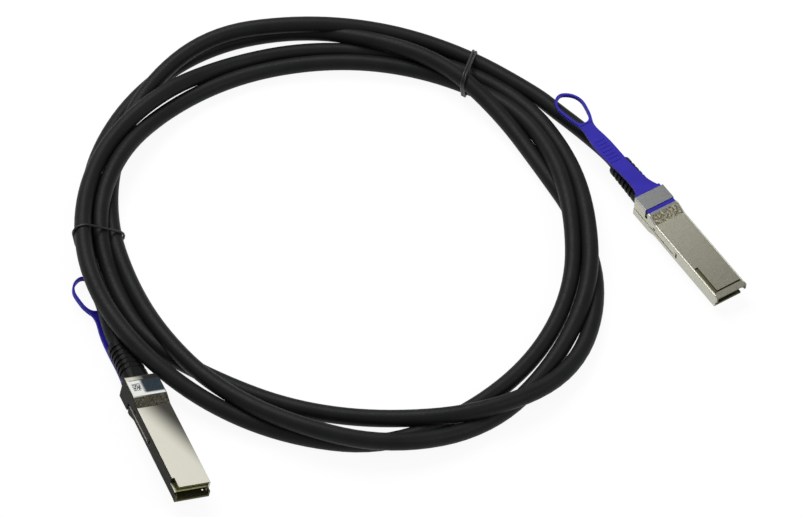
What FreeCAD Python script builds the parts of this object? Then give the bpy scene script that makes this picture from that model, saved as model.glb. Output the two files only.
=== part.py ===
import FreeCAD, Part

import math
import os

# Direct attach copper cable: a coiled round cable with a die-cast plug at each end.
# Millimetres. Each plug is drawn in its own frame: +X from the nose back along the cable,
# +Z out of the label side, and the pull tab on the -Z side. It is then laid in its place.

# ---- plug shells ----
PLUG_WIDTH = 18.35          # slim front and rear, across
PLUG_LENGTH = 75.0          # nose to rear face
SLIM_HEIGHT = 8.5           # front part that enters the cage
SLOPE_LENGTH = 5.5          # ramp from the slim front up to the raised rear
REAR_LENGTH = 14.0          # raised rear
SLIM_LENGTH = PLUG_LENGTH - REAR_LENGTH - SLOPE_LENGTH
REAR_RISE = 2.0             # how far the rear stands above the slim front, on each side
ROOF = 1.2                  # label-side roof and tab-side cover thickness
THIN_WALL = 0.885           # side wall beside the card
THICK_WALL = 1.9            # side wall beside the latch arms
REAR_WALL = 2.0             # end wall that the boot's neck passes through
LABEL_SETBACK = 1.8         # label-side roof starts this far behind the nose
NOTCH_LENGTH = 6.3          # key notch in the front corner of the label-side roof
NOTCH_WIDTH = 1.65
SEAT_GAP = 0.05             # between pieces of one plug that seat on each other
PARTING_GAP = 0.15          # visible line between cover and side walls
EDGE_ROUND = 0.4

# ---- cover nose ----
NOSE_BAR = 3.4              # length of the bar across the nose
SLOT_WIDTH = 1.8            # long leg of the L-shaped slot
SLOT_LENGTH = 18.5
SLOT_DEPTH = 0.7
CROSS_SLOT = 1.0            # short leg, along the nose bar
SLOT_EDGE = 0.2             # web left between the slot and the cover's edge

# ---- paddle card ----
CARD_THICK = 1.0
CARD_FRONT = 2.8            # behind the nose
CARD_LENGTH = 30.8
CARD_GAP = 0.08             # card edge to side wall
CARD_WIDTH = PLUG_WIDTH - 2 * (THIN_WALL + CARD_GAP)
PAD_PITCH = 0.8
PAD_WIDTH = 0.54
PAD_LENGTH = 3.0
PAD_THICK = 0.05
PADS_PER_SIDE = 19
RAIL_WIDTH = 0.8            # rails that grip the card's edges
RAIL_START = 8.0
RAIL_LENGTH = 20.0
CHIP_SIZE = 4.0
CHIP_HEIGHT = 0.9
CHIP_PLACE = 17.0
PASSIVE_LENGTH = 1.0
PASSIVE_WIDTH = 0.5
PASSIVE_PLACE = 25.0

# ---- conductors ----
PAIR_WIDTH = 2.1            # foil-wrapped twinax pair
PAIR_HEIGHT = 1.15
PAIR_OVERLAP = 2.0          # length soldered on the card
COMB_PLACE = 38.0
COMB_LENGTH = 2.2
COMB_WIDTH = 14.0
COMB_HEIGHT = 5.4
FERRULE_LENGTH = 5.0
FERRULE_RADIUS = 3.5
FERRULE_WALL = 0.5

# ---- cable and boot ----
CABLE_DIAMETER = 8.8
BOOT_LENGTH = 27.0          # outside the shell
BOOT_BASE = (14.0, 9.7)     # width, height at the shell
BOOT_END = (12.2, 10.0)     # width, height where the cable comes out
BOOT_WALL = 0.35            # left under a groove, above the cable
BOOT_RIBS = 7
BOOT_COLLAR = 5.0           # smooth part next to the shell
GROOVE = 1.4
BOOT_FLANGE = (9.2, 7.4, 2.0)
NECK_RADIUS = 3.7
NECK_GAP = 0.1
JACKET_END = 5.0            # jacket starts this far into the boot
BORE_GAP = 0.1

# ---- latch slider, pull tab and springs ----
STEEL = 0.45
TRAVEL = 2.6                # the slider is pulled back this far
RUN_GAP = 0.3               # running gap round the moving pieces
STRIP = 1.8                 # fixed metal strip in front of the tab's crossbar
CROSSBAR = 2.3
TAB_UNDER = 0.9             # tab plate below the steel band
GROOVE_HEIGHT = 3.2
GROOVE_DEPTH = 1.05
ARM_TIP = 36.6              # front end of the latch arms
ARM_HEIGHT = 2.6
TIP_FLARE = 0.5
TIP_LENGTH = 3.0
ARM_WINDOW = (SLIM_LENGTH + 0.1, 2.2, 1.0)      # place, length, height
STRAP_ROOT = 15.0           # width at the steel band
STRAP_FLARE = 9.5           # length over which it narrows
STRAP_WIDTH = 9.2
STRAP_NECK = 7.8            # narrowest, just before the loop
STRAP_THICK = 1.4
STRAP_END = PLUG_LENGTH + 53.0          # where the loop starts
LOOP_LENGTH = 26.4
LOOP_WIDTH = 14.8
LOOP_BAND = 1.25
LOOP_HEIGHT = 2.0
LOOP_WEB = 3.0              # solid part between the neck and the loop's hole
GRIP_RIBS = 7
GRIP_RISE = 0.25
SPRING_RADIUS = 0.95
SPRING_WIRE = 0.3
SPRING_TURNS = 5
SPRING_LENGTH = 5.0
SPRING_SIDE = 5.7           # springs lie this far each side of the axis
SPRING_WALL = 0.25
LUG_LENGTH = 1.2

# ---- label ----
LABEL_THICK = 0.15
LABEL_MARGIN = 0.6

# ---- where things lie ----
ORIGIN_SHIFT = (-3.4, 29.3)            # puts the origin midway between the plugs
COIL_CENTRE = (-33.0, 20.0)
# Sway: how far the strap lies off the plug's axis at its flare, middle and neck, and the
# loop at its start, middle and end. Droop: how far the loop hangs towards the label side.
PLUG_A = {"nose": (168.2, -29.5), "height": 6.4, "yaw": 121.6, "pitch": 0.0, "roll": 180.0,
          "sway": (-2.2, -3.0, -2.9, -2.4, -2.6, -3.6), "droop": -0.8}
PLUG_B = {"nose": (-100.8, -155.6), "height": 14.6, "yaw": 114.0, "pitch": 3.5, "roll": 16.0,
          "sway": (0.0, -0.5, -0.4, 1.2, 1.3, 0.5), "droop": 4.2}

# The coil's outer and inner reach from its centre, every 15 degrees, counter-clockwise
# from +X. It is drawn in where the boots and pull tabs lie against it.
COIL_OUTER = [134.4, 132.4, 131.0, 134.5, 136.8, 136.0, 136.8, 141.7,
              145.4, 144.2, 141.0, 138.4, 137.9, 126.5, 126.0, 131.5,
              137.4, 138.4, 143.9, 149.7, 150.8, 154.4, 151.9, 142.4]
COIL_INNER = [117.2, 110.5, 107.2, 107.8, 110.6, 107.2, 106.6, 107.6,
              110.4, 112.8, 115.6, 117.6, 114.3, 109.8, 110.2, 114.1,
              112.9, 114.4, 119.6, 126.6, 131.6, 128.1, 125.1, 121.3]
COIL_HEIGHT = 17.8          # two strands high
COIL_FLATS = 72
HUMP = (220.0, 21.6, 320.0)             # where a strand climbs over the boot: angle, top, curve

# Free cable from each boot to the coil: distance and angle about the coil's centre, height.
TAIL_A = [(143.5, 26.0, 5.6), (138.9, 32.8, 5.0), (134.6, 41.5, 4.8), (128.6, 50.0, 5.0)]
TAIL_B = [(130.3, 206.5, 8.4), (129.9, 198.0, 8.5), (130.4, 189.0, 8.4), (128.8, 180.0, 7.6)]
TAIL_STRAIGHT = 10.0        # first run, straight out of the boot

# Ties: angle about the coil's centre, inner reach, outer reach, top height.
TIE_WIRE = 1.6
TIE_GAP = 0.3
TIES = {"tie_left": (180.0, 112.0, 138.6), "tie_top": (58.0, 107.5, 140.5)}


def box(x0, x1, y0, y1, z0, z1):
    """A box by its low and high corners."""
    return Part.makeBox(x1 - x0, y1 - y0, z1 - z0, FreeCAD.Vector(x0, y0, z0))


def cylinder_x(radius, x0, x1, y=0.0, z=0.0):
    """A cylinder along X."""
    return Part.makeCylinder(radius, x1 - x0, FreeCAD.Vector(x0, y, z), FreeCAD.Vector(1, 0, 0))


def side_profile(points, y0, y1):
    """An outline in the XZ plane, pushed from y0 to y1."""
    wire = Part.makePolygon([FreeCAD.Vector(x, y0, z) for x, z in points + points[:1]])
    return Part.Face(wire).extrude(FreeCAD.Vector(0, y1 - y0, 0))


def faceted_section(x, width, height, radius, steps=3):
    """A rectangle square to X with rounded corners, in short flats."""
    points = []
    for i in range(4):
        sy, sz = ((1, 1), (-1, 1), (-1, -1), (1, -1))[i]
        for k in range(steps + 1):
            a = math.pi / 2 * (i + k / steps)
            points.append(FreeCAD.Vector(x, sy * (width / 2 - radius) + radius * math.cos(a),
                                         sz * (height / 2 - radius) + radius * math.sin(a)))
    return Part.makePolygon(points + points[:1])


def fuse(shapes):
    """One solid out of overlapping or touching ones."""
    whole = shapes[0].fuse(shapes[1:]) if len(shapes) > 1 else shapes[0]
    return whole.removeSplitter()


HALF_WIDTH = PLUG_WIDTH / 2
HALF_SLIM = SLIM_HEIGHT / 2
HALF_REAR = HALF_SLIM + REAR_RISE
THIN_INNER = HALF_WIDTH - THIN_WALL
THICK_INNER = HALF_WIDTH - THICK_WALL
RAMP_END = SLIM_LENGTH + SLOPE_LENGTH
THICK_START = CARD_FRONT + CARD_LENGTH + 0.4
BAND_INSET = STEEL + RUN_GAP - 0.1              # the shell is narrower below the steel band
RECESS_START = RAMP_END + STRIP
TAB_FLOOR = HALF_REAR - TAB_UNDER - RUN_GAP     # shell surface below the tab plate
TAB_TOP = TAB_FLOOR + RUN_GAP + TAB_UNDER       # tab plate surface, level with the strip
BAND_START = RECESS_START + SEAT_GAP + CROSSBAR
ARM_INNER = HALF_WIDTH - GROOVE_DEPTH + RUN_GAP
ARM_OUTER = ARM_INNER + STEEL
GROOVE_START = ARM_TIP - RUN_GAP - 0.6
BOOT_OUT = PLUG_LENGTH + BOOT_LENGTH


def roof_line(lift, start):
    """Points along one broad side of the plug: slim front, ramp, raised rear."""
    return [(start, HALF_SLIM + lift), (SLIM_LENGTH, HALF_SLIM + lift),
            (RAMP_END, HALF_REAR + lift), (PLUG_LENGTH, HALF_REAR + lift)]


def mirrored(points):
    """The same outline on the tab side."""
    return [(x, -z) for x, z in points]


def cover_inside(start, back, drop):
    """Inner line of the tab-side cover, in the XZ plane."""
    slim = -HALF_SLIM + ROOF - drop
    rear = -TAB_FLOOR + ROOF - drop
    return [(start, slim), (SLIM_LENGTH, slim), (RAMP_END, rear), (back, rear)]


def label_shell():
    """U-shaped half: label-side roof, both side walls and half of the end wall."""
    outline = roof_line(0, LABEL_SETBACK) + mirrored(roof_line(0, LABEL_SETBACK))[::-1]
    shell = side_profile(outline, -HALF_WIDTH, HALF_WIDTH)
    long_edges = [e for e in shell.Edges if abs(e.Vertexes[0].Point.y) > HALF_WIDTH - 0.01
                  and abs(e.Vertexes[0].Point.y - e.Vertexes[-1].Point.y) < 0.01
                  and e.BoundBox.XLength > 1.0]
    shell = shell.makeFillet(EDGE_ROUND, long_edges)
    cavity_top = [(x, z - ROOF) for x, z in roof_line(0, -1.0)]
    cavity_top[-1] = (PLUG_LENGTH - REAR_WALL, cavity_top[-1][1])
    deep = HALF_REAR + 1.0
    cavity = cavity_top + [(PLUG_LENGTH - REAR_WALL, -deep), (-1.0, -deep)]
    shell = shell.cut(side_profile(cavity, -THICK_INNER, THICK_INNER))
    shell = shell.cut(box(-1, THICK_START, -THIN_INNER, THIN_INNER, -deep, HALF_SLIM - ROOF))
    # rebate that the tab-side cover lies in, open to the rear
    rebate = cover_inside(-1.0, PLUG_LENGTH + 1, 0.0)
    rebate += [(PLUG_LENGTH + 1, -deep), (-1.0, -deep)]
    shell = shell.cut(side_profile(rebate, -THIN_INNER, THIN_INNER))
    # the cover has the tab-side half of the end wall, and the strip and recess behind the ramp
    shell = shell.cut(box(PLUG_LENGTH - REAR_WALL - 1, PLUG_LENGTH + 1,
                          -THIN_INNER, THIN_INNER, -deep, 0))
    shell = shell.cut(box(RECESS_START, PLUG_LENGTH + 1, -HALF_WIDTH - 1, HALF_WIDTH + 1,
                          -deep, -TAB_FLOOR))
    for side in (-1, 1):
        y = sorted((side * (HALF_WIDTH - GROOVE_DEPTH), side * (HALF_WIDTH + 1)))
        shell = shell.cut(box(GROOVE_START, PLUG_LENGTH + 1, y[0], y[1],
                              -GROOVE_HEIGHT / 2, GROOVE_HEIGHT / 2))
        shell = shell.cut(box(RECESS_START, PLUG_LENGTH + 1, y[0], y[1], -deep, 0))
        rail = sorted((side * (THIN_INNER - RAIL_WIDTH), side * (THIN_INNER + 0.2)))
        shell = shell.fuse(box(RAIL_START, RAIL_START + RAIL_LENGTH, rail[0], rail[1],
                               CARD_THICK / 2 + SEAT_GAP, HALF_SLIM - ROOF + 0.2))
    # key notch in the front corner
    shell = shell.cut(box(-1, LABEL_SETBACK + NOTCH_LENGTH, HALF_WIDTH - NOTCH_WIDTH,
                          HALF_WIDTH + 1, CARD_THICK / 2 + 0.3, deep))
    shell = shell.cut(cylinder_x(NECK_RADIUS + NECK_GAP, PLUG_LENGTH - REAR_WALL - 1,
                                 PLUG_LENGTH + 1))
    return shell.removeSplitter()


def cover():
    """Tab-side half: plate between the side walls, nose bar, ramp, strip and half end wall."""
    half = THIN_INNER - PARTING_GAP
    link = LABEL_SETBACK - SEAT_GAP
    outer = mirrored(roof_line(0, link - 0.1))
    outer = outer[:3] + [(RECESS_START, -HALF_REAR), (RECESS_START, -TAB_FLOOR),
                         (PLUG_LENGTH, -TAB_FLOOR)]
    inner = cover_inside(link - 0.1, PLUG_LENGTH, SEAT_GAP)
    plate = side_profile(outer + inner[::-1], -half, half)
    # the nose bar reaches over the full width, with cheeks beside the card
    bar = box(0, link, -HALF_WIDTH, HALF_WIDTH, -HALF_SLIM, -HALF_SLIM + ROOF - SEAT_GAP)
    solids = [plate, bar]
    for side in (-1, 1):
        cheek = sorted((side * THIN_INNER, side * HALF_WIDTH))
        solids.append(box(0, link, cheek[0], cheek[1], -HALF_SLIM, -CARD_THICK / 2))
        rail = sorted((side * (half - RAIL_WIDTH), side * half))
        solids.append(box(RAIL_START, RAIL_START + RAIL_LENGTH, rail[0], rail[1],
                          -HALF_SLIM + ROOF - 0.3, -CARD_THICK / 2 - SEAT_GAP))
        # block that holds the return spring
        y = side * SPRING_SIDE
        pocket = SPRING_RADIUS + SPRING_WIRE
        block = pocket + SPRING_WALL
        solids.append(box(RECESS_START, SPRING_BACK + 0.7, y - block, y + block,
                          -TAB_FLOOR, -TAB_FLOOR + 2 * pocket + 0.7))
    solids.append(box(PLUG_LENGTH - REAR_WALL, PLUG_LENGTH, -half, half, -TAB_FLOOR, -SEAT_GAP))
    whole = fuse(solids)
    # L-shaped slot, with a small through-hole at each end of its short leg
    low, floor = -HALF_SLIM - 1, -HALF_SLIM + SLOT_DEPTH
    edge = -half + SLOT_EDGE
    whole = whole.cut(box(NOSE_BAR, NOSE_BAR + SLOT_LENGTH, edge, edge + SLOT_WIDTH, low, floor))
    whole = whole.cut(box(NOSE_BAR, NOSE_BAR + CROSS_SLOT, edge, half - SLOT_EDGE, low, floor))
    for y in (edge + SLOT_WIDTH / 2, half - SLOT_EDGE - SLOT_WIDTH / 2):
        whole = whole.cut(box(NOSE_BAR, NOSE_BAR + CROSS_SLOT, y - CROSS_SLOT / 2,
                              y + CROSS_SLOT / 2, low, -HALF_SLIM + ROOF + 1))
    # spring pockets, open towards the tab
    for side in (-1, 1):
        y = side * SPRING_SIDE
        pocket = SPRING_RADIUS + SPRING_WIRE
        whole = whole.cut(box(LUG_FRONT - RUN_GAP, SPRING_BACK, y - pocket, y + pocket,
                              -TAB_FLOOR - 1, -TAB_FLOOR + 2 * pocket))
    whole = whole.cut(cylinder_x(NECK_RADIUS + NECK_GAP, PLUG_LENGTH - REAR_WALL - 1,
                                 PLUG_LENGTH + 1))
    return whole.removeSplitter()


LUG_FRONT = RECESS_START + SEAT_GAP + 0.6
SPRING_FRONT = LUG_FRONT + LUG_LENGTH
SPRING_BACK = SPRING_FRONT + SPRING_LENGTH


def paddle_card():
    """Printed board with a chamfered front edge."""
    z = CARD_THICK / 2
    bevel = CARD_THICK * 0.3
    back = CARD_FRONT + CARD_LENGTH
    return side_profile([(CARD_FRONT, -z + bevel), (CARD_FRONT + bevel, -z), (back, -z),
                         (back, z), (CARD_FRONT + bevel, z), (CARD_FRONT, z - bevel)],
                        -CARD_WIDTH / 2, CARD_WIDTH / 2)


def contact_pads():
    """Gold contacts on both faces of the card."""
    pads = []
    first = CARD_FRONT + CARD_THICK * 0.5
    for side in (-1, 1):
        z = sorted((side * CARD_THICK / 2, side * (CARD_THICK / 2 + PAD_THICK)))
        for i in range(PADS_PER_SIDE):
            y = (i - (PADS_PER_SIDE - 1) / 2) * PAD_PITCH
            pads.append(box(first, first + PAD_LENGTH, y - PAD_WIDTH / 2, y + PAD_WIDTH / 2,
                            z[0], z[1]))
    return Part.makeCompound(pads)


def memory_chip():
    """Small memory chip on the card's label side, with a pin-one dimple."""
    z = CARD_THICK / 2
    half = CHIP_SIZE / 2
    chip = box(CHIP_PLACE - half, CHIP_PLACE + half, -half, half, z, z + CHIP_HEIGHT)
    dimple = Part.makeCylinder(0.3, 1, FreeCAD.Vector(CHIP_PLACE - half + 0.8, -half + 0.8,
                                                      z + CHIP_HEIGHT - 0.15))
    return chip.cut(dimple)


def card_passives():
    """Chip capacitors on both faces of the card."""
    parts = []
    for side in (-1, 1):
        z = sorted((side * CARD_THICK / 2, side * (CARD_THICK / 2 + PASSIVE_WIDTH)))
        for i in range(4):
            y = (i - 1.5) * 3.6
            parts.append(box(PASSIVE_PLACE, PASSIVE_PLACE + PASSIVE_LENGTH,
                             y - PASSIVE_WIDTH / 2, y + PASSIVE_WIDTH / 2, z[0], z[1]))
    return Part.makeCompound(parts)


def pair_ends():
    """Where each twinax pair starts on the card and ends in the ferrule: (y, z), (y, z)."""
    lift = CARD_THICK / 2 + PAIR_HEIGHT / 2 + PAD_THICK
    ends = []
    for side in (-1, 1):
        for i in range(4):
            lane = i - 1.5
            ends.append(((lane * 3.4, side * lift), (lane * 1.35, side * PAIR_HEIGHT * 0.6)))
    return ends


def pair_shape(start, end, grow):
    """One oblong pair, running straight from the card to the ferrule."""
    x0 = CARD_FRONT + CARD_LENGTH - PAIR_OVERLAP
    x1 = PLUG_LENGTH - REAR_WALL - FERRULE_LENGTH
    wires = []
    for x, (y, z), squeeze in ((x0, start, 1.0), (x1, end, 0.6)):
        width = PAIR_WIDTH * squeeze + 2 * grow
        height = PAIR_HEIGHT + 2 * grow
        wire = faceted_section(x, width, height, height * 0.35, 1)
        wire.translate(FreeCAD.Vector(0, y, z))
        wires.append(wire)
    return Part.makeLoft(wires, True, True)


def twinax_pairs():
    """Eight foil-wrapped pairs, four on each face of the card."""
    return Part.makeCompound([pair_shape(a, b, 0) for a, b in pair_ends()])


def pair_comb():
    """Moulded comb that spreads the pairs to their pads."""
    comb = box(COMB_PLACE, COMB_PLACE + COMB_LENGTH, -COMB_WIDTH / 2, COMB_WIDTH / 2,
               -HALF_SLIM + ROOF, -HALF_SLIM + ROOF + COMB_HEIGHT)
    for start, end in pair_ends():
        comb = comb.cut(pair_shape(start, end, SEAT_GAP))
    return comb


def crimp_ferrule():
    """Metal ring that clamps the braid behind the pairs."""
    x1 = PLUG_LENGTH - REAR_WALL - BOOT_FLANGE[2] - SEAT_GAP
    x0 = x1 - FERRULE_LENGTH
    ring = cylinder_x(FERRULE_RADIUS, x0, x1)
    return ring.cut(cylinder_x(FERRULE_RADIUS - FERRULE_WALL, x0 - 1, x1 + 1))


def boot_loft(shrink):
    """Outer form of the boot, or the core below its grooves."""
    wires = []
    for x, (width, height) in ((PLUG_LENGTH, BOOT_BASE), (BOOT_OUT, BOOT_END)):
        low = CABLE_DIAMETER + 2 * BOOT_WALL
        w = max(width - 2 * shrink, low)
        h = max(height - 2 * shrink, low) if shrink else height
        wires.append(faceted_section(x, w, h, min(w, h) * 0.42, 3))
    return Part.makeLoft(wires, True, True)


def boot():
    """Moulded strain relief: flange and neck in the shell, ribbed taper outside."""
    body = boot_loft(0)
    core = boot_loft(0.9)
    pitch = (BOOT_LENGTH - BOOT_COLLAR) / BOOT_RIBS
    for i in range(BOOT_RIBS - 1):
        x = PLUG_LENGTH + BOOT_COLLAR + i * pitch + pitch - GROOVE
        ring = box(x, x + GROOVE, -20, 20, -20, 20).cut(core)
        body = body.cut(ring)
    w, h, t = BOOT_FLANGE
    inside = PLUG_LENGTH - REAR_WALL
    flange = box(inside - t, inside, -w / 2, w / 2, -h / 2, h / 2)
    neck = cylinder_x(NECK_RADIUS, inside - 0.5, PLUG_LENGTH + 1)
    body = fuse([body, neck, flange])
    bore = cylinder_x(CABLE_DIAMETER / 2 + BORE_GAP, PLUG_LENGTH + JACKET_END - BORE_GAP,
                      BOOT_OUT + 1)
    return body.cut(bore)


def jacket_end():
    """The cable's jacketed end, inside the boot."""
    return cylinder_x(CABLE_DIAMETER / 2, PLUG_LENGTH + JACKET_END, BOOT_OUT)


def latch_slider():
    """Folded steel: a band over the tab side and an arm along each side wall."""
    band_in = TAB_TOP + SEAT_GAP
    side_in = ARM_INNER
    back = PLUG_LENGTH
    top = box(BAND_START, back, -side_in - STEEL, side_in + STEEL, -band_in - STEEL, -band_in)
    pieces = [top]
    for side in (-1, 1):
        y = sorted((side * side_in, side * (side_in + STEEL)))
        pieces.append(box(BAND_START, back, y[0], y[1], -band_in - STEEL, ARM_HEIGHT / 2))
        pieces.append(box(ARM_TIP + TIP_LENGTH, back, y[0], y[1], -ARM_HEIGHT / 2,
                          ARM_HEIGHT / 2))
        # the tip flares outwards to catch the cage
        tip = [(ARM_TIP, y[0] + (TIP_FLARE if side > 0 else -TIP_FLARE)),
               (ARM_TIP + TIP_LENGTH, y[0]), (ARM_TIP + TIP_LENGTH, y[1]),
               (ARM_TIP, y[1] + (TIP_FLARE if side > 0 else -TIP_FLARE))]
        wire = Part.makePolygon([FreeCAD.Vector(x, v, -ARM_HEIGHT / 2) for x, v in tip + tip[:1]])
        pieces.append(Part.Face(wire).extrude(FreeCAD.Vector(0, 0, ARM_HEIGHT)))
    slider = fuse(pieces)
    corner = [e for e in slider.Edges
              if e.BoundBox.XLength > back - BAND_START - 0.1 and e.BoundBox.ZLength < 0.01
              and abs(e.BoundBox.ZMin + band_in + STEEL) < 0.01]
    slider = slider.makeFillet(STEEL * 0.8, corner)
    x, length, height = ARM_WINDOW
    return slider.cut(box(x, x + length, -HALF_WIDTH - 2, HALF_WIDTH + 2,
                          -height / 2, height / 2))


def smooth_face(points, closed):
    """A face inside a smooth curve through a few points, in short flats."""
    curve = Part.BSplineCurve()
    curve.interpolate([FreeCAD.Vector(x, y, -30) for x, y in points], PeriodicFlag=closed)
    flats = curve.toShape().discretize(Deflection=0.04)
    if closed:
        flats = flats[:-1]
    return Part.Face(Part.makePolygon(flats + flats[:1]))


def tab_plan(sway):
    """Plan of the tab behind the band, and of its finger hole, about its bent centre line."""
    root, slim, neck, wide = (w / 2 for w in (STRAP_ROOT, STRAP_WIDTH, STRAP_NECK, LOOP_WIDTH))
    start, flare = PLUG_LENGTH + SEAT_GAP, PLUG_LENGTH + STRAP_FLARE
    middle = (flare + STRAP_END) / 2
    end = STRAP_END + LOOP_LENGTH
    stations = [start - 5, start, flare + 14, middle + 10, STRAP_END - 1, STRAP_END + 6,
                STRAP_END + 16, end]
    offsets = [0.0, 0.0] + list(sway)

    def bend(x):
        for i in range(len(stations) - 1):
            if x <= stations[i + 1]:
                t = (x - stations[i]) / (stations[i + 1] - stations[i])
                return offsets[i] + (offsets[i + 1] - offsets[i]) * t
        return offsets[-1]

    def outline(rows, first):
        path = [(x, bend(x) + half) for x, half in rows]
        path += [(x, bend(x) - half) for x, half in rows[::-1][0 if rows[-1][1] else 1:]]
        return path if first else path[:-1]
    outer = [(start, root), (start + 2.6, root - 1.3), (flare - 3.4, slim + 0.55),
             (flare + 1, slim), (middle - 4, slim), (middle + 12, slim), (STRAP_END + 1, neck),
             (STRAP_END + 6, wide * 0.73), (STRAP_END + 11, wide * 0.9),
             (STRAP_END + 16, wide), (end - 5.2, wide * 0.88), (end - 1.5, wide * 0.5), (end, 0)]
    a, b = STRAP_END + LOOP_WEB, end - LOOP_BAND
    wide -= LOOP_BAND
    hole = [(a, 0), (a + 1.1, wide * 0.46), (a + 5.2, wide * 0.76), (a + 9, wide * 0.9),
            (a + 13, wide), (b - 4.2, wide * 0.87), (b - 1.1, wide * 0.42), (b, 0)]
    return smooth_face(outline(outer, True), False), smooth_face(outline(hole, False), True)


def strap_band(droop, thick, lift):
    """Side view of the strap: level as far as the boot's end, then sloping to the cable."""
    low = -(TAB_FLOOR + RUN_GAP) - lift
    x0, x1 = PLUG_LENGTH - 1.0, STRAP_END + LOOP_LENGTH + 2
    path = [(x0, low), (BOOT_OUT, low), (x1, low + droop)]
    return side_profile(path + [(x, z - thick) for x, z in path[::-1]], -30, 30)


def pull_tab(plug):
    """One moulding: crossbar and plate under the steel band, strap, and finger loop."""
    plate_half = ARM_INNER - SEAT_GAP
    under = TAB_FLOOR + RUN_GAP
    crossbar = box(RECESS_START + SEAT_GAP, BAND_START - SEAT_GAP, -plate_half, plate_half,
                   -TAB_TOP - 0.1, -under)
    plate = box(BAND_START - 1, PLUG_LENGTH + 2, -plate_half + 0.6, plate_half - 0.6, -TAB_TOP,
                -under)
    pieces = [crossbar, plate]
    for side in (-1, 1):
        y = side * SPRING_SIDE
        r = SPRING_RADIUS
        pieces.append(box(LUG_FRONT, SPRING_FRONT, y - r, y + r, -under,
                          -TAB_FLOOR + 2 * r + RUN_GAP))
    tall = FreeCAD.Vector(0, 0, 60)
    outer, inner = tab_plan(plug["sway"])
    whole = outer.extrude(tall).cut(inner.extrude(tall))
    body = whole.common(strap_band(plug["droop"], STRAP_THICK, 0))
    rim = strap_band(plug["droop"], LOOP_HEIGHT, (STRAP_THICK - LOOP_HEIGHT) / 2)
    ring = whole.common(rim).cut(box(0, STRAP_END + 2, -40, 40, -40, 40))
    pieces += [body, ring]
    tab = fuse(pieces)
    ribs = []
    side = plug["sway"][1]
    for i in range(GRIP_RIBS):
        x = PLUG_LENGTH + 26 + i * 2.6
        ribs.append(box(x, x + 1.0, side - 2.8, side + 2.8, -HALF_REAR - 5, 0))
    grip = Part.makeCompound(ribs).common(strap_band(plug["droop"], GRIP_RISE + 0.3,
                                                     STRAP_THICK - 0.3))
    return fuse([tab] + grip.Solids)


def return_springs():
    """Two compression springs that push the tab's lugs forward."""
    springs = []
    steps = SPRING_TURNS * 6
    length = SPRING_LENGTH - SPRING_WIRE - 0.1
    reach = SPRING_RADIUS - SPRING_WIRE / 2
    for side in (-1, 1):
        points = []
        for i in range(steps + 1):
            a = math.pi * i / 3
            points.append(FreeCAD.Vector(
                SPRING_FRONT + SPRING_WIRE / 2 + 0.05 + length * i / steps,
                side * SPRING_SIDE + reach * math.cos(a),
                -TAB_FLOOR + SPRING_RADIUS + SPRING_WIRE + reach * math.sin(a)))
        start = (points[1] - points[0]).normalize()
        across = start.cross(FreeCAD.Vector(1, 0, 0)).normalize() * (SPRING_WIRE / 2)
        along = start.cross(across).normalize() * (SPRING_WIRE / 2)
        square = [points[0] + across + along, points[0] - across + along,
                  points[0] - across - along, points[0] + across - along]
        section = Part.makePolygon(square + square[:1])
        springs.append(Part.makePolygon(points).makePipeShell([section], True, True, 1))
    return Part.makeCompound(springs)


def rating_plate():
    """Blank paper label on the raised label side."""
    return box(RAMP_END + LABEL_MARGIN, PLUG_LENGTH - LABEL_MARGIN, -HALF_WIDTH + LABEL_MARGIN,
               HALF_WIDTH - LABEL_MARGIN, HALF_REAR, HALF_REAR + LABEL_THICK)


def placement(plug):
    """Lays a plug in its place: roll about its axis, pitch, yaw, then the nose's place."""
    turn = (FreeCAD.Rotation(FreeCAD.Vector(0, 0, 1), plug["yaw"])
            * FreeCAD.Rotation(FreeCAD.Vector(0, 1, 0), plug["pitch"])
            * FreeCAD.Rotation(FreeCAD.Vector(1, 0, 0), plug["roll"]))
    nose = FreeCAD.Vector(plug["nose"][0] + ORIGIN_SHIFT[0], plug["nose"][1] + ORIGIN_SHIFT[1],
                          plug["height"])
    return FreeCAD.Placement(nose, turn)


def plug_parts(plug):
    """Every piece of one plug, by name."""
    return {"label_shell": label_shell(), "latch_cover": cover(),
            "paddle_card": paddle_card(),
            "contact_pads": contact_pads(), "memory_chip": memory_chip(),
            "card_passives": card_passives(), "twinax_pairs": twinax_pairs(),
            "pair_comb": pair_comb(), "crimp_ferrule": crimp_ferrule(), "boot": boot(),
            "jacket_end": jacket_end(), "latch_slider": latch_slider(),
            "pull_tab": pull_tab(plug), "return_springs": return_springs(),
            "rating_plate": rating_plate()}


def around(reach, angle, height):
    """A point by its distance and angle about the coil's centre."""
    a = math.radians(angle)
    return FreeCAD.Vector(COIL_CENTRE[0] + ORIGIN_SHIFT[0] + reach * math.cos(a),
                          COIL_CENTRE[1] + ORIGIN_SHIFT[1] + reach * math.sin(a), height)


def coil():
    """Outer shape of the coiled cable: a rounded flat ring that widens where turns fan out."""
    def ring_face(reaches):
        curve = Part.BSplineCurve()
        step = 360.0 / len(reaches)
        curve.interpolate([around(r, i * step, 0) for i, r in enumerate(reaches)],
                          PeriodicFlag=True)
        points = curve.toShape().discretize(COIL_FLATS + 1)[:-1]
        return Part.Face(Part.makePolygon(points + points[:1]))
    angle, top, radius = HUMP
    ring = ring_face(COIL_OUTER).cut(ring_face(COIL_INNER)).Faces[0]
    a = math.radians(angle)
    arch = Part.makeCylinder(radius, 200, around(0, 0, top - radius),
                             FreeCAD.Vector(math.cos(a), math.sin(a), 0))
    hump = ring.extrude(FreeCAD.Vector(0, 0, top)).common(arch)
    return fuse([ring.extrude(FreeCAD.Vector(0, 0, COIL_HEIGHT)), hump])


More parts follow.
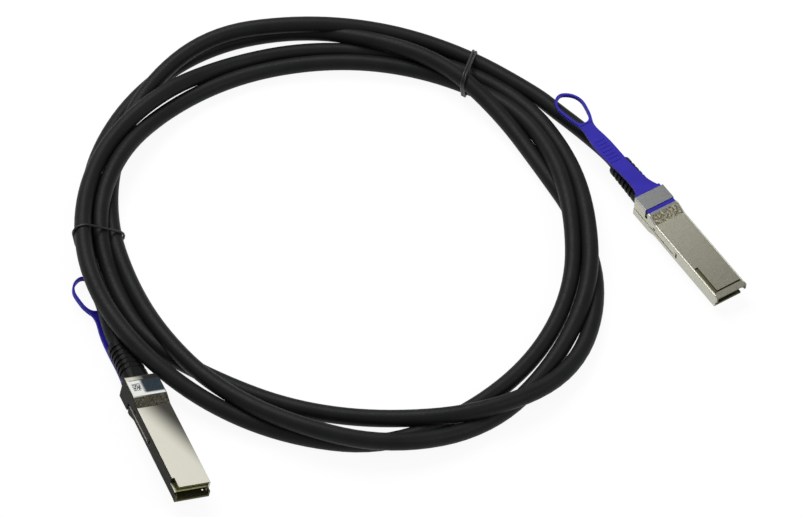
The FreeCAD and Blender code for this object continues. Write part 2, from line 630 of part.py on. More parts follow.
def tube(name, points):
    """Round tube along straight runs joined by the largest tangent arcs that fit."""
    edges, radii = [], []
    here = points[0]
    for i in range(1, len(points) - 1):
        before, corner, after = points[i - 1], points[i], points[i + 1]
        into = (corner - before).normalize()
        out = (after - corner).normalize()
        turn = into.getAngle(out)
        cut = 0.45 * min((corner - before).Length, (after - corner).Length)
        radii.append(cut / math.tan(turn / 2))
        start, end = corner - into * cut, corner + out * cut
        bisector = (out - into).normalize()
        middle = corner + bisector * (radii[-1] / math.cos(turn / 2) - radii[-1])
        edges.append(Part.LineSegment(here, start).toShape())
        edges.append(Part.Arc(start, middle, end).toShape())
        here = end
    edges.append(Part.LineSegment(here, points[-1]).toShape())
    path = Part.Wire(edges)
    first = (points[1] - points[0]).normalize()
    ring = Part.Wire(Part.makeCircle(CABLE_DIAMETER / 2, points[0], first))
    solid = path.makePipeShell([ring], True, True)
    area = math.pi * CABLE_DIAMETER ** 2 / 4
    print(name, "radii", [round(r) for r in radii], "length", round(path.Length, 1),
          "volume ratio", round(solid.Volume / (area * path.Length), 4))
    return solid


def tail(name, plug, route):
    """Free cable from a boot's end face to the coil."""
    place = placement(plug)
    out = place.multVec(FreeCAD.Vector(BOOT_OUT, 0, 0))
    ahead = place.multVec(FreeCAD.Vector(BOOT_OUT + TAIL_STRAIGHT, 0, 0))
    return tube(name, [out, ahead] + [around(*p) for p in route])


def tie(angle, inner, outer):
    """Thin tie round the coil's turns, closed and clear of them."""
    gap = TIE_GAP
    half = TIE_WIRE / 2

    def hoop(grow):
        low, high = inner - gap - grow, outer + gap + grow
        top = COIL_HEIGHT + gap + grow
        shape = box(low, high, -half, half, 0 if grow else -1, top)
        edges = [e for e in shape.Edges if e.BoundBox.YLength > TIE_WIRE - 0.01
                 and e.BoundBox.ZMin > 1]
        return shape.makeFillet(TIE_WIRE * 0.7, edges) if grow else shape
    band = hoop(TIE_WIRE).cut(hoop(0))
    band.rotate(FreeCAD.Vector(0, 0, 0), FreeCAD.Vector(0, 0, 1), angle)
    band.translate(around(0, 0, 0))
    return band


def main():
    os.makedirs("parts", exist_ok=True)
    shapes = {}
    for letter, plug in (("a", PLUG_A), ("b", PLUG_B)):
        for name, shape in plug_parts(plug).items():
            shape.Placement = placement(plug).multiply(shape.Placement)
            shapes[name + "_" + letter] = shape
    shapes["cable_coil"] = coil()
    shapes["cable_tail_a"] = tail("cable_tail_a", PLUG_A, TAIL_A)
    shapes["cable_tail_b"] = tail("cable_tail_b", PLUG_B, TAIL_B)
    for name, (angle, inner, outer) in TIES.items():
        shapes[name] = tie(angle, inner, outer)
    for name, shape in shapes.items():
        shape.exportStep("parts/" + name + ".step")


main()
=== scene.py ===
import bpy
import math
from mathutils import Matrix, Vector


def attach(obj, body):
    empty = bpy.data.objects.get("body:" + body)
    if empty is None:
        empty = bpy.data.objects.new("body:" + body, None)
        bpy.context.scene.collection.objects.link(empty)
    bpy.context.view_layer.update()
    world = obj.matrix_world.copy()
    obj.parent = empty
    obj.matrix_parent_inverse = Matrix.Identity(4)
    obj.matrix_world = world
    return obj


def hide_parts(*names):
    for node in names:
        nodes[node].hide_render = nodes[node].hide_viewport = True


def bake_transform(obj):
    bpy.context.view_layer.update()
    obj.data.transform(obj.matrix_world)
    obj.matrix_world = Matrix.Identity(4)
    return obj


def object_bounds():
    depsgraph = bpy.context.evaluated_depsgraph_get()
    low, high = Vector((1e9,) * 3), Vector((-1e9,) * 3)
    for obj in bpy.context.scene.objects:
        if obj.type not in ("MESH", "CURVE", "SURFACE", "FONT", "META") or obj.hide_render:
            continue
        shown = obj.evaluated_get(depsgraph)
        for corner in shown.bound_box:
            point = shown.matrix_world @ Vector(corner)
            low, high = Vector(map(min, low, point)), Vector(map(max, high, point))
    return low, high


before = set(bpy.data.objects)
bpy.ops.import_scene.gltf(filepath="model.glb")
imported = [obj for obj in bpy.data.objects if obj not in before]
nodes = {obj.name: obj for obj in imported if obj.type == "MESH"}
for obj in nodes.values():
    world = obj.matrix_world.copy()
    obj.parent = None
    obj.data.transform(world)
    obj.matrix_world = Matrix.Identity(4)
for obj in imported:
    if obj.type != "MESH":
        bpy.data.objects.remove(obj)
SIZE_AT_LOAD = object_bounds()
scene = bpy.context.scene
scene.view_settings.view_transform = "Standard"

# ---------------------------------------------------------------- layout, in metres
MM = 1000.0                                  # millimetres in a metre
CABLE = 0.0088                               # jacket diameter
CENTRE = (-0.0364, 0.0493)                   # the coil's centre
TIE_MIDDLE = 123.0                           # reach of the ties' middle, in millimetres
BULGE = 1.015                                # a spline cuts inside its control points
# The free cable of plug a, from part.py: the boot's end face, a straight start, then the route.
START_A = [(0.1137, 0.0829, 0.0064), (0.11135, 0.08668, 0.0064), (0.1061, 0.0952, 0.0064)]
ROUTE_A = [(0.143, 26.0, 0.0056), (0.1386, 33.0, 0.0053)]     # reach, angle, height
FIRST_ANGLE = 40                             # degrees, at the first pair of TURN_1
ANGLE_STEP = 20                              # degrees from one pair to the next
# Reach and height in millimetres, one pair for each step round the coil.
TURN_1 = [(134.2, 6.0), (131.2, 6.5), (129.9, 10.8), (132.0, 14.0), (140.8, 13.4), (134.7, 11.0),
          (125.5, 4.8), (117.8, 4.4), (112.2, 4.4), (114.7, 8.6), (122.5, 10.6), (133.6, 13.9),
          (146.3, 11.6), (149.0, 4.6), (141.2, 4.4), (136.2, 10.8), (128.1, 13.2)]
TURN_2 = [(126.8, 7.2), (127.6, 4.4), (123.5, 4.4), (119.0, 4.4), (120.6, 4.4), (122.4, 6.4),
          (123.8, 15.2), (130.2, 13.8), (131.6, 15.8), (132.5, 17.2), (132.7, 17.1),
          (132.3, 8.6), (135.4, 4.4), (142.0, 4.4), (136.0, 4.4), (131.7, 4.4), (127.0, 8.0),
          (120.0, 12.6)]
TURN_3 = [(118.8, 11.0), (120.6, 4.8), (114.6, 4.4), (110.0, 6.4), (110.8, 5.0), (114.2, 4.6),
          (117.8, 6.4), (121.3, 12.4), (123.9, 11.4), (121.2, 4.8), (121.3, 4.4), (115.8, 4.4),
          (118.9, 4.4), (127.1, 6.4), (144.8, 13.2), (153.0, 7.0), (141.9, 4.4), (124.5, 4.4)]
TURN_4 = [(111.4, 4.4), (110.9, 7.0), (115.5, 13.4), (120.4, 13.0), (134.8, 5.0), (140.6, 4.4),
          (139.3, 4.4), (135.4, 4.4)]
# The free cable of plug b: its route, then the points of part.py up to the boot's end face.
ROUTE_B = [(0.1314, 178.0, 0.0064), (0.1318, 189.0, 0.0079), (0.1309, 198.0, 0.0085),
           (0.1308, 206.0, 0.0084)]
END_B = [(-0.14967, -0.02417, 0.0078), (-0.14561, -0.03329, 0.0084), (-0.14399, -0.03694, 0.0086)]


def polar(reach, angle, height):
    """A point by its reach from the coil's centre, in metres, and its angle in degrees."""
    a = math.radians(angle)
    return (CENTRE[0] + reach * math.cos(a), CENTRE[1] + reach * math.sin(a), height)


def plug_frame(nose, yaw, pitch, roll):
    """A plug's own frame: x from its nose to the cable, y across, z to the label side."""
    turns = [Matrix.Rotation(math.radians(angle), 4, axis)
             for angle, axis in ((yaw, "Z"), (pitch, "Y"), (roll, "X"))]
    return Matrix.Translation(nose) @ turns[0] @ turns[1] @ turns[2]


PLUG = {"a": plug_frame((0.1648, -0.0002, 0.0064), 121.6, 0.0, 180.0),
        "b": plug_frame((-0.1042, -0.1263, 0.0146), 114.0, 3.5, 16.0)}


# ---------------------------------------------------------------- material helper
class Mat:
    """A node material and short ways to add nodes to it."""

    def __init__(self, name, color, rough, metal=0.0, **sockets):
        self.material = bpy.data.materials.new(name)
        self.material.use_nodes = True
        self.tree = self.material.node_tree
        self.shader = next(n for n in self.tree.nodes if n.type == "BSDF_PRINCIPLED")
        self.shader.inputs["Base Color"].default_value = (*color, 1)
        self.shader.inputs["Roughness"].default_value = rough
        self.shader.inputs["Metallic"].default_value = metal
        for key, value in sockets.items():
            self.shader.inputs[key.replace("_", " ")].default_value = value

    def node(self, kind, **settings):
        n = self.tree.nodes.new(kind)
        for key, value in settings.items():
            setattr(n, key, value)
        return n

    def link(self, a, b):
        self.tree.links.new(a, b)

    def coords(self):
        """Places on the mesh as it lies at rest, in metres."""
        return self.node("ShaderNodeTexCoord").outputs["Object"]

    def noise(self, vector, scale, detail=3.0, rough=0.55):
        n = self.node("ShaderNodeTexNoise")
        n.inputs["Scale"].default_value = scale
        n.inputs["Detail"].default_value = detail
        n.inputs["Roughness"].default_value = rough
        self.link(vector, n.inputs["Vector"])
        return n.outputs["Fac"]

    def plug_xyz(self, letter):
        """Places along, across and out of a plug, in millimetres, in its own frame."""
        back = PLUG[letter].inverted()
        m = self.node("ShaderNodeMapping")
        m.inputs["Location"].default_value = back.to_translation() * MM
        m.inputs["Rotation"].default_value = back.to_euler()
        m.inputs["Scale"].default_value = (MM, MM, MM)
        self.link(self.coords(), m.inputs["Vector"])
        split = self.node("ShaderNodeSeparateXYZ")
        self.link(m.outputs["Vector"], split.inputs[0])
        return split.outputs

    def calc(self, operation, a, b=0.0, c=0.0):
        """A sum on up to three values, each a number or another node's output."""
        n = self.node("ShaderNodeMath", operation=operation)
        for i, value in enumerate((a, b, c)):
            if isinstance(value, (int, float)):
                n.inputs[i].default_value = value
            else:
                self.link(value, n.inputs[i])
        return n.outputs[0]

    def within(self, value, low, high):
        """1 where the value lies between low and high, else 0."""
        return self.calc("COMPARE", value, (low + high) / 2, (high - low) / 2)

    def blend(self, fac, a, b):
        """Colour a where fac is 0, colour b where it is 1."""
        n = self.node("ShaderNodeMix", data_type="RGBA")
        self.link(fac, n.inputs[0])
        for socket, value in ((n.inputs[6], a), (n.inputs[7], b)):
            if isinstance(value, tuple):
                socket.default_value = (*value, 1)
            else:
                self.link(value, socket)
        return n.outputs[2]

    def ramp(self, fac, stops):
        """Colour by fac, from a list of (position, colour)."""
        r = self.node("ShaderNodeValToRGB")
        while len(r.color_ramp.elements) < len(stops):
            r.color_ramp.elements.new(0.5)
        for e, (pos, color) in zip(r.color_ramp.elements, stops):
            e.position = pos
            e.color = (*color, 1)
        self.link(fac, r.inputs["Fac"])
        return r.outputs["Color"]

    def span(self, fac, low, high, start=0.0, stop=1.0, kind="LINEAR"):
        """A value that runs from low to high while fac runs from start to stop."""
        r = self.node("ShaderNodeMapRange", interpolation_type=kind)
        r.inputs["From Min"].default_value = start
        r.inputs["From Max"].default_value = stop
        r.inputs["To Min"].default_value = low
        r.inputs["To Max"].default_value = high
        self.link(fac, r.inputs["Value"])
        return r.outputs["Result"]

    def bump(self, height, strength, distance):
        b = self.node("ShaderNodeBump")
        b.inputs["Strength"].default_value = strength
        b.inputs["Distance"].default_value = distance
        self.link(height, b.inputs["Height"])
        self.link(b.outputs["Normal"], self.shader.inputs["Normal"])

    def base(self, color):
        self.link(color, self.shader.inputs["Base Color"])

    def rough(self, value):
        self.link(value, self.shader.inputs["Roughness"])


# ---------------------------------------------------------------- materials
# Colours are linear. Places are in a plug's own frame, in millimetres.
SATIN = (0.88, 0.86, 0.735)                  # plating of the label side
OLIVE = (0.295, 0.29, 0.234)                 # blasted plating of the tab side
# The dark corner and rear strip of the label side's plating are painted shade: a dark reflection
# painted into its colour.
CORNER_SLOPE, CORNER_PLACE = 0.4, -19.7      # line y = slope x + place of the dark corner's edge
CORNER_FADE = (-8.8, 6.9)                    # how far each side of that line it fades in
CORNER_SHADE, REAR_SHADE = 0.965, 0.97         # how dark the corner and the rear strip get
REAR_STRIP, REAR_FADE = 72.4, (0.5, 4.0)     # x where the rear strip starts, y where it fades
NOSE_DIM, NOSE_DIM_SPAN = 0.32, (5.0, 55.0)  # dimming of the tab side, strongest at the nose
# Behind the film's end the bare plating darkens towards one side: painted shade, a dark
# reflection of the boot.
FILM_END, FILM_END_FADE = 72.2, (-1.0, 5.0)  # x where the film ends, y of the shade there
FILM_DARK_X, FILM_DARK_Y = (62.6, 63.6), (0.8, 2.6)   # where the film turns blue grey
BLOCK_X, BLOCK_Y = (65.0, 69.8), (2.6, 7.0)  # the printed square
ROWS_X, ROWS_Y = (64.4, 71.0), (-7.6, 1.6)   # the printed rows
ROW_PITCH, ROW_GAP = 0.55, 0.3               # half the rows' spacing, and the blank part of it
LINE_X, LINE_Y = (71.8, 72.2), (-8.6, 7.4)   # the printed line at the rear
PRINT_GRAIN, PRINT_STRENGTH = 0.47, 0.9      # noise above which print shows, and how strongly


def moulded(name, color, rough, specular, grain, patches, tones, roughness, depth, bump):
    """Rubber or plastic: two close tones in broad patches, under a fine grain."""
    m = Mat(name, color, rough, Specular_IOR_Level=specular)
    v = m.coords()
    fine = m.noise(v, *grain)
    m.base(m.ramp(m.noise(v, patches, 2), [(0.3, tones[0]), (0.7, tones[1])]))
    m.rough(m.span(fine, *roughness, 0.35, 0.65))
    m.bump(fine, depth, bump)
    return m.material


def cast_material(name, color, rough, speckle, letter=None):
    """Die-cast plating with a blasted finish and fine speckle.

    With a letter it is dimmer towards that plug's nose.
    """
    m = Mat(name, color, rough, 1.0)
    v = m.coords()
    fine = m.noise(v, 2600, 5, 0.7)
    low = tuple(c * (1 - speckle) for c in color)
    tone = m.ramp(m.noise(v, 1900, 4, 0.65), [(0.36, low), (0.62, color)])
    if letter:
        x = m.plug_xyz(letter)[0]
        tone = m.blend(m.span(x, NOSE_DIM, 0.0, *NOSE_DIM_SPAN), tone, (0.02, 0.02, 0.012))
    m.base(tone)
    m.rough(m.span(fine, rough - 0.04, rough + 0.05, 0.3, 0.7))
    m.bump(fine, 0.1 + speckle * 0.6, 0.00012)
    return m.material


def satin_material(letter):
    """Plating of the label side, with painted shade: a dark reflection painted towards one corner
    and in front of the boot.
    """
    m = Mat("shell_satin_" + letter, SATIN, 0.3, 0.55)
    x, y, _ = m.plug_xyz(letter)
    # The corner and the rear strip: painted shade, a dark reflection painted into the plating.
    corner = m.calc("SUBTRACT", m.calc("MULTIPLY_ADD", x, CORNER_SLOPE, CORNER_PLACE), y)
    tone = m.span(corner, 0.0, 1.0, *CORNER_FADE, "SMOOTHSTEP")
    rear = m.calc("MULTIPLY", m.calc("GREATER_THAN", x, REAR_STRIP),
                  m.span(y, 1.0, 0.0, *REAR_FADE))
    dark = m.calc("MAXIMUM", m.calc("MULTIPLY", tone, CORNER_SHADE),
                  m.calc("MULTIPLY", rear, REAR_SHADE))
    m.base(m.blend(dark, SATIN, (0.03, 0.028, 0.022)))
    return m.material


def label_material(letter):
    """Printed film: pale on one side, blue grey on the other, with plain marks for its print;
    behind its end, bare plating in painted shade.
    """
    m = Mat("label_" + letter, (0.6, 0.6, 0.6), 0.4, Specular_IOR_Level=0.1)
    x, y, _ = m.plug_xyz(letter)
    dots = m.noise(m.coords(), 1500, 2, 0.5)
    shade = m.calc("MULTIPLY", m.span(y, 1.0, 0.0, *FILM_DARK_Y),
                   m.span(x, 0.0, 1.0, *FILM_DARK_X))
    paper = m.blend(shade, (0.73, 0.745, 0.72), (0.025, 0.038, 0.05))
    block = m.calc("MULTIPLY", m.within(x, *BLOCK_X), m.within(y, *BLOCK_Y))
    rows = m.calc("MULTIPLY", m.within(y, *ROWS_Y), m.within(x, *ROWS_X))
    rows = m.calc("MULTIPLY", rows,
                  m.calc("GREATER_THAN", m.calc("PINGPONG", x, ROW_PITCH), ROW_GAP))
    marks = m.calc("MULTIPLY", m.calc("MAXIMUM", block, rows),
                   m.calc("GREATER_THAN", dots, PRINT_GRAIN))
    line = m.calc("MULTIPLY", m.within(x, *LINE_X), m.within(y, *LINE_Y))
    inked = m.blend(m.calc("MULTIPLY", m.calc("MAXIMUM", marks, line), PRINT_STRENGTH), paper,
                    (0.015, 0.016, 0.022))
    # Bare plating behind the film, darker towards one side: painted shade.
    bare = m.blend(m.span(y, 1.0, 0.0, *FILM_END_FADE), (0.6, 0.58, 0.5), (0.02, 0.019, 0.016))
    m.base(m.blend(m.calc("GREATER_THAN", x, FILM_END), inked, bare))
    return m.material


def ramp_material(name, gain):
    """The ramps are left as cast: coarse brownish grain. gain scales its tones and bump, giving
    lit and shaded copies: painted light and painted shade.
    """
    m = Mat(name, (0.2, 0.18, 0.13), 0.6, 0.7)
    grain = m.noise(m.coords(), 1100, 5, 0.8)
    stops = [(0.4, (0.05, 0.046, 0.03)), (0.5, (0.19, 0.175, 0.12)), (0.64, (0.6, 0.56, 0.43))]
    m.base(m.ramp(grain, [(at, tuple(c * gain for c in color)) for at, color in stops]))
    m.bump(grain, 0.6 * gain, 0.0003)
    return m.material


def card_material():
    """Green board with the weave of its glass cloth."""
    m = Mat("card", (0.2, 0.25, 0.07), 0.35)
    v = m.coords()
    weave = m.noise(v, 1100, 2)
    m.base(m.ramp(weave, [(0.4, (0.1, 0.15, 0.04)), (0.6, (0.26, 0.28, 0.08))]))
    m.bump(weave, 0.1, 0.00005)
    return m.material


def plain(name, color, rough, metal=0.0, scale=900, depth=0.15, **sockets):
    """One colour with a fine grain."""
    m = Mat(name, color, rough, metal, **sockets)
    fine = m.noise(m.coords(), scale, 3)
    m.base(m.ramp(fine, [(0.3, tuple(c * 0.85 for c in color)),
                         (0.7, tuple(min(1, c * 1.1) for c in color))]))
    m.rough(m.span(fine, max(0.05, rough - 0.06), min(1, rough + 0.08), 0.3, 0.7))
    m.bump(fine, depth, 0.00006)
    return m.material


# ---------------------------------------------------------------- nodes of the CAD
def smooth(obj):
    """Smooth shading on every face."""
    for poly in obj.data.polygons:
        poly.use_smooth = True


def soften(obj, width, segments=2, angle=35):
    """Small rounded edges and smooth shading on a node, leaving its vertices alone."""
    b = obj.modifiers.new("edge", "BEVEL")
    b.width = width
    b.segments = segments
    b.limit_method = "ANGLE"
    b.angle_limit = math.radians(angle)
    smooth(obj)
    n = obj.modifiers.new("normals", "WEIGHTED_NORMAL")
    n.keep_sharp = True


def paint(obj, *materials):
    """Put these materials on a piece in place of its own."""
    obj.data.materials.clear()
    for m in materials:
        obj.data.materials.append(m)


def local(letter, poly):
    """A face's centre, in millimetres, and its normal in its plug's own frame."""
    inverse = PLUG[letter].inverted()
    c = inverse @ poly.center
    n = inverse.to_3x3() @ poly.normal
    return c * MM, n


def choose(obj, letter, pick):
    """Give each face the material whose index pick returns for its centre and normal."""
    for poly in obj.data.polygons:
        poly.material_index = pick(*local(letter, poly))


# ---------------------------------------------------------------- which material a face takes
# Centres are in millimetres, and both centres and normals in the plug's own frame.
RAMP_X = (55.4, 61.1)                        # the ramp between the slim and the raised part
LINK_X = (60.9, 63.0)                        # the cover's floor behind the ramp
SHELL_WALL_Y, COVER_WALL_Y = 8.0, 8.6        # faces farther out belong to a side wall
NOSE_X = 3.3                                 # the nose frame's own end faces lie before this
SLOT_X, SLOT_Z = 23.0, -3.9                  # the floor of the L-shaped slot
SQUARE = 0.7                                 # a normal with this much of an axis faces along it


def shell_face(c, n):
    """0 satin, 1 ramp, 2 inside, 3 wall on the y- side, 4 wall on the y+ side."""
    if RAMP_X[0] < c.x < RAMP_X[1] and 0.25 < abs(n.x) < 0.6 and n.z > 0.5:
        return 1
    if abs(c.y) > SHELL_WALL_Y and (n.z < 0.6 or n.y > 0.2):
        return 4 if c.y > 0 else 3
    return 2 if n.z < 0.6 else 0


def cover_face(c, n, shaded_ends):
    """0 blasted, 1 ramp, 2 inside, 3 steel, 4 wall on the y- side, 5 wall on the y+ side. On plug
    b the nose's end faces take the inside's painted shade too.
    """
    if RAMP_X[0] < c.x < RAMP_X[1] and n.z < -0.5 and abs(n.x) > 0.2:
        return 1
    if LINK_X[0] < c.x < LINK_X[1] and n.z < -0.8:
        return 3
    if abs(n.y) > SQUARE and abs(c.y) > COVER_WALL_Y:
        return 5 if c.y > 0 else 4
    if n.z > 0.3 or abs(n.y) > SQUARE or (abs(n.x) > SQUARE and (c.x > NOSE_X or shaded_ends)):
        return 2
    return 2 if c.x < SLOT_X and c.z > SLOT_Z and n.z < -SQUARE else 0


def slider_face(c, n):
    """0 steel, 1 side arm on the y- side, 2 side arm on the y+ side."""
    if abs(n.y) > SQUARE:
        return 2 if c.y > 0 else 1
    return 0


def card_face(c, n):
    """0 board, 1 laminate in the cut edges."""
    return 1 if abs(n.z) < 0.5 else 0


def squeezed_springs(letter):
    """The return springs: a copy of their node in the spring material, shown in its place."""
    node = "return_springs_" + letter
    springs = bpy.data.objects.new("springs_" + letter, nodes[node].data.copy())
    scene.collection.objects.link(springs)
    paint(springs, SPRING)
    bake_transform(springs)
    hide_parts(node)


JACKET = moulded("jacket", (0.009, 0.009, 0.0095), 0.5, specular=0.13, grain=(900, 4),
                 patches=60, tones=((0.0072, 0.0076, 0.008), (0.0104, 0.011, 0.0114)),
                 roughness=(0.44, 0.56), depth=0.22, bump=0.0001)
BOOT = moulded("boot", (0.005, 0.005, 0.0055), 0.5, specular=0.12, grain=(1400, 3),
               patches=120, tones=((0.0032, 0.0032, 0.0035), (0.0062, 0.0062, 0.0066)),
               roughness=(0.42, 0.6), depth=0.3, bump=0.0001)
TAB = moulded("tab", (0.025, 0.018, 0.33), 0.45, specular=0.12, grain=(1500, 3),
              patches=80, tones=((0.022, 0.016, 0.31), (0.028, 0.02, 0.355)),
              roughness=(0.36, 0.5), depth=0.2, bump=0.00008)
# Lit and shaded copies of one cast finish: painted light on the tab side's ramps, painted shade
# on the label side's.
AS_CAST = ramp_material("as_cast", 1.15)
AS_CAST_SHADED = ramp_material("as_cast_shaded", 0.28)
WALL = cast_material("shell_wall", (0.6, 0.59, 0.5), 0.4, 0.3)
# A near-black wall colour: painted shade.
SHADE = plain("shell_wall_painted_shade", (0.012, 0.0115, 0.009), 0.55, Specular_IOR_Level=0.1)
# Insides, hollows and slot floors are dark olive: painted shade where light hardly reaches.
SHADED_INSIDE = cast_material("shell_inside_shade", (0.11, 0.102, 0.055), 0.55, 0.3)
STEEL = cast_material("strip_steel", (0.212, 0.22, 0.218), 0.32, 0.06)
CARD = card_material()
LAMINATE = plain("laminate", (0.55, 0.5, 0.16), 0.5)
GOLD = plain("contact_gold", (0.83, 0.6, 0.22), 0.25, 1.0)
CHIP = plain("chip", (0.012, 0.012, 0.013), 0.45)
CERAMIC = plain("ceramic", (0.45, 0.33, 0.2), 0.5)
FOIL = plain("pair_foil", (0.72, 0.72, 0.74), 0.3, 1.0, 500, 0.4)
NYLON = plain("nylon", (0.75, 0.72, 0.62), 0.5)
BRASS = plain("ferrule", (0.6, 0.5, 0.3), 0.35, 1.0)
SPRING = plain("spring", (0.45, 0.45, 0.45), 0.35, 1.0)
TIE = plain("tie", (0.004, 0.004, 0.0043), 0.4, 0.0, 900, 0.1)

CAST_EDGE, STRIP_EDGE = 0.00012, 0.00008     # rounded edges, in metres
TAB_EDGE, BOOT_EDGE = 0.00022, 0.00025

for letter in "ab":
    # Plug b's y+ walls, the left ones from the camera, are near black: painted shade for the dark
    # surroundings they would mirror.
    side = SHADE if letter == "b" else WALL
    shell, cover, slider, card = (nodes[name + letter] for name in (
        "label_shell_", "latch_cover_", "latch_slider_", "paddle_card_"))
    paint(shell, satin_material(letter), AS_CAST_SHADED, SHADED_INSIDE, WALL, side)
    choose(shell, letter, shell_face)
    blasted = cast_material("shell_blasted_" + letter, OLIVE, 0.42, 0.3, letter)
    paint(cover, blasted, AS_CAST, SHADED_INSIDE, STEEL, WALL, side)
    # Plug b's nose end faces get the dark inside colour: painted shade.
    choose(cover, letter, lambda c, n: cover_face(c, n, letter == "b"))
    paint(slider, STEEL, WALL, side)
    choose(slider, letter, slider_face)
    paint(card, CARD, LAMINATE)
    choose(card, letter, card_face)
    for name, material in (("boot_", BOOT), ("jacket_end_", JACKET), ("pull_tab_", TAB),
                           ("contact_pads_", GOLD), ("memory_chip_", CHIP),
                           ("card_passives_", CERAMIC), ("twinax_pairs_", FOIL),
                           ("pair_comb_", NYLON), ("crimp_ferrule_", BRASS),
                           ("rating_plate_", label_material(letter))):
        paint(nodes[name + letter], material)
    squeezed_springs(letter)
    soften(shell, CAST_EDGE)
    soften(cover, CAST_EDGE)
    soften(slider, STRIP_EDGE)
    soften(nodes["pull_tab_" + letter], TAB_EDGE, segments=3, angle=40)
    soften(nodes["boot_" + letter], BOOT_EDGE, angle=40)
    for name in ("crimp_ferrule_", "jacket_end_", "twinax_pairs_"):
        smooth(nodes[name + letter])

# ---------------------------------------------------------------- the cable
TURNS = TURN_1 + TURN_2 + TURN_3 + TURN_4
route = list(START_A)
route += [polar(*p) for p in ROUTE_A]
for step, (reach, height) in enumerate(TURNS):
    route.append(polar(reach * BULGE / MM, FIRST_ANGLE + step * ANGLE_STEP, height / MM))
route += [polar(*p) for p in ROUTE_B]
route += END_B

curve = bpy.data.curves.new("cable", "CURVE")
curve.dimensions = "3D"
spline = curve.splines.new("NURBS")
spline.points.add(len(route) - 1)
for point, where in zip(spline.points, route):
    point.co = (*where, 1)
spline.order_u = 3
spline.use_endpoint_u = True
curve.resolution_u = 8
curve.bevel_depth = CABLE / 2
curve.bevel_resolution = 8
curve.use_fill_caps = True
curve.materials.append(JACKET)
cable = bpy.data.objects.new("cable", curve)
scene.collection.objects.link(cable)
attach(cable, "cable_root")
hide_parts("cable_coil", "cable_tail_a", "cable_tail_b")

# ---------------------------------------------------------------- wire ties round the turns
RING_POINTS = 16                             # points round each strand that a tie rests on


def strands_at(angle):
    """Reach and height of every turn at one angle round the coil, in millimetres."""
    found = []
    k = (angle - FIRST_ANGLE) / ANGLE_STEP
    while k < len(TURNS) - 1:
        i = int(k)
        f = k - i
        found.append(tuple(TURNS[i][n] * (1 - f) + TURNS[i + 1][n] * f for n in (0, 1)))
        k += 360 // ANGLE_STEP
    return found


def hull(points):
    """Convex hull in the plane, counter-clockwise."""
    points = sorted(set(points))
    corners = []
    for sweep in (points, points[::-1]):
        part = []
        for p in sweep:
            while len(part) > 1 and ((part[-1][0] - part[-2][0]) * (p[1] - part[-2][1])
                                     - (part[-1][1] - part[-2][1]) * (p[0] - part[-2][0])) <= 0:
                part.pop()
            part.append(p)
        corners += part[:-1]
    return corners


def tie(name, node, angle, slant, wire, extra=(), wraps=(0.0,)):
    """A wire tie pulled round the strands at one angle, leaning by slant degrees a millimetre.

    The wire's thickness is in millimetres. extra adds strands that TURNS doesn't hold, and wraps
    gives each loop of wire its angle from the tie's own.
    """
    reach = CABLE / 2 * MM + wire / 2
    low, high = wire / 2, SIZE_AT_LOAD[1][2] * MM - wire / 2
    ring = []
    for r, z in (*strands_at(angle), *extra):
        for i in range(RING_POINTS):
            a = math.tau * i / RING_POINTS
            ring.append((round(r + reach * math.cos(a), 3),
                         round(min(high, max(low, z + reach * math.sin(a))), 3)))
    outline = hull(ring)
    data = bpy.data.curves.new(name, "CURVE")
    data.dimensions = "3D"
    for turn in wraps:
        s = data.splines.new("POLY")
        s.points.add(len(outline) - 1)
        s.use_cyclic_u = True
        for p, (r, z) in zip(s.points, outline):
            lean = slant * (r - TIE_MIDDLE)
            p.co = (*polar(r / MM, angle + turn + lean, z / MM), 1)
    data.bevel_depth = wire / 2 / MM
    data.bevel_resolution = 4
    data.materials.append(TIE)
    obj = bpy.data.objects.new(name, data)
    scene.collection.objects.link(obj)
    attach(obj, "cable_root")
    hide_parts(node)
    return obj


tie_top = tie("wire_tie_top", "tie_top", 55.5, 0.17, wire=1.4, wraps=(-0.35, 0.35))
# The left tie holds the free cable of plug b too, which leaves the last turn there.
tie_left = tie("wire_tie_left", "tie_left", 185.5, 0.1, wire=1.3, extra=[(131.2, 7.0)])

# ---------------------------------------------------------------- floor, light, camera
FLOOR_HALF = 6.0                             # half the floor's side
FLOOR_DROP = 0.0002                          # how far the floor lies under the object
FLOOR_WHITE, FLOOR_SHARE = 1.02, 0.9         # the white that the camera sees, and its share
WORLD_LIGHT = 0.42                           # the room's strength away from the camera's view

floor_mesh = bpy.data.meshes.new("floor")
floor_mesh.from_pydata([(x * FLOOR_HALF, y * FLOOR_HALF, 0)
                        for x, y in ((-1, -1), (1, -1), (1, 1), (-1, 1))], [], [(0, 1, 2, 3)])
floor = bpy.data.objects.new("floor", floor_mesh)
scene.collection.objects.link(floor)
floor.location.z = -FLOOR_DROP
fm = Mat("floor", (0.86, 0.86, 0.86), 0.9)
surface = next(n for n in fm.tree.nodes if n.type == "OUTPUT_MATERIAL").inputs["Surface"]
path = fm.node("ShaderNodeLightPath")
emit = fm.node("ShaderNodeEmission")
emit.inputs["Color"].default_value = (1, 1, 1, 1)
emit.inputs["Strength"].default_value = FLOOR_WHITE
mix = fm.node("ShaderNodeMixShader")
seen = fm.calc("MAXIMUM", path.outputs["Is Camera Ray"], path.outputs["Is Glossy Ray"])
fm.link(fm.calc("MULTIPLY", seen, FLOOR_SHARE), mix.inputs["Fac"])
fm.link(fm.shader.outputs["BSDF"], mix.inputs[1])
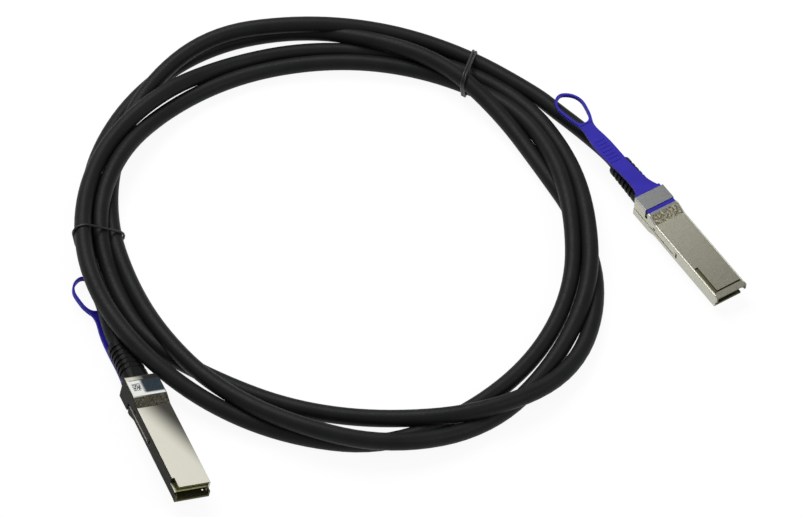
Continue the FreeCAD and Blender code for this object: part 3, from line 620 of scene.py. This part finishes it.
fm.link(emit.outputs["Emission"], mix.inputs[2])
fm.link(mix.outputs["Shader"], surface)
floor_mesh.materials.append(fm.material)

world = bpy.data.worlds.new("studio")
scene.world = world
world.use_nodes = True
wt = world.node_tree
back = wt.nodes["Background"]
back.inputs["Color"].default_value = (1, 1, 1, 1)
wpath = wt.nodes.new("ShaderNodeLightPath")
wmax = wt.nodes.new("ShaderNodeMath")
wmax.operation = "MAXIMUM"
wt.links.new(wpath.outputs["Is Camera Ray"], wmax.inputs[0])
wt.links.new(wpath.outputs["Is Transmission Ray"], wmax.inputs[1])
wrange = wt.nodes.new("ShaderNodeMapRange")
wrange.inputs["To Min"].default_value = WORLD_LIGHT
wrange.inputs["To Max"].default_value = 1.0
wt.links.new(wmax.outputs[0], wrange.inputs["Value"])
wt.links.new(wrange.outputs["Result"], back.inputs["Strength"])


def area_light(name, where, size, power):
    """A soft lamp that faces the middle of the floor, in metres and watts."""
    data = bpy.data.lights.new(name, "AREA")
    data.shape = "RECTANGLE"
    data.size, data.size_y = size
    data.energy = power
    obj = bpy.data.objects.new(name, data)
    obj.location = where
    obj.rotation_euler = (-Vector(where)).to_track_quat("-Z", "Y").to_euler()
    scene.collection.objects.link(obj)


area_light("key", (-0.5, 0.9, 1.5), size=(1.1, 0.9), power=22)
area_light("fill", (1.1, -0.7, 1.3), size=(0.9, 0.9), power=7)

# The camera that both plugs in the photo agree on.
TARGET = Vector((-0.0034, 0.0293, 0.0))
AWAY, ELEVATION = 1.653, math.radians(52.0)
SENSOR, LENS, CLIP_END = 36.0, 143.2, 20.0

camera_data = bpy.data.cameras.new("camera")
camera_data.sensor_width = SENSOR
camera_data.lens = LENS
camera_data.clip_end = CLIP_END
camera = bpy.data.objects.new("camera", camera_data)
camera.location = TARGET + Vector((0, -AWAY * math.cos(ELEVATION), AWAY * math.sin(ELEVATION)))
camera.rotation_euler = (TARGET - camera.location).to_track_quat("-Z", "Y").to_euler()
scene.collection.objects.link(camera)
scene.camera = camera
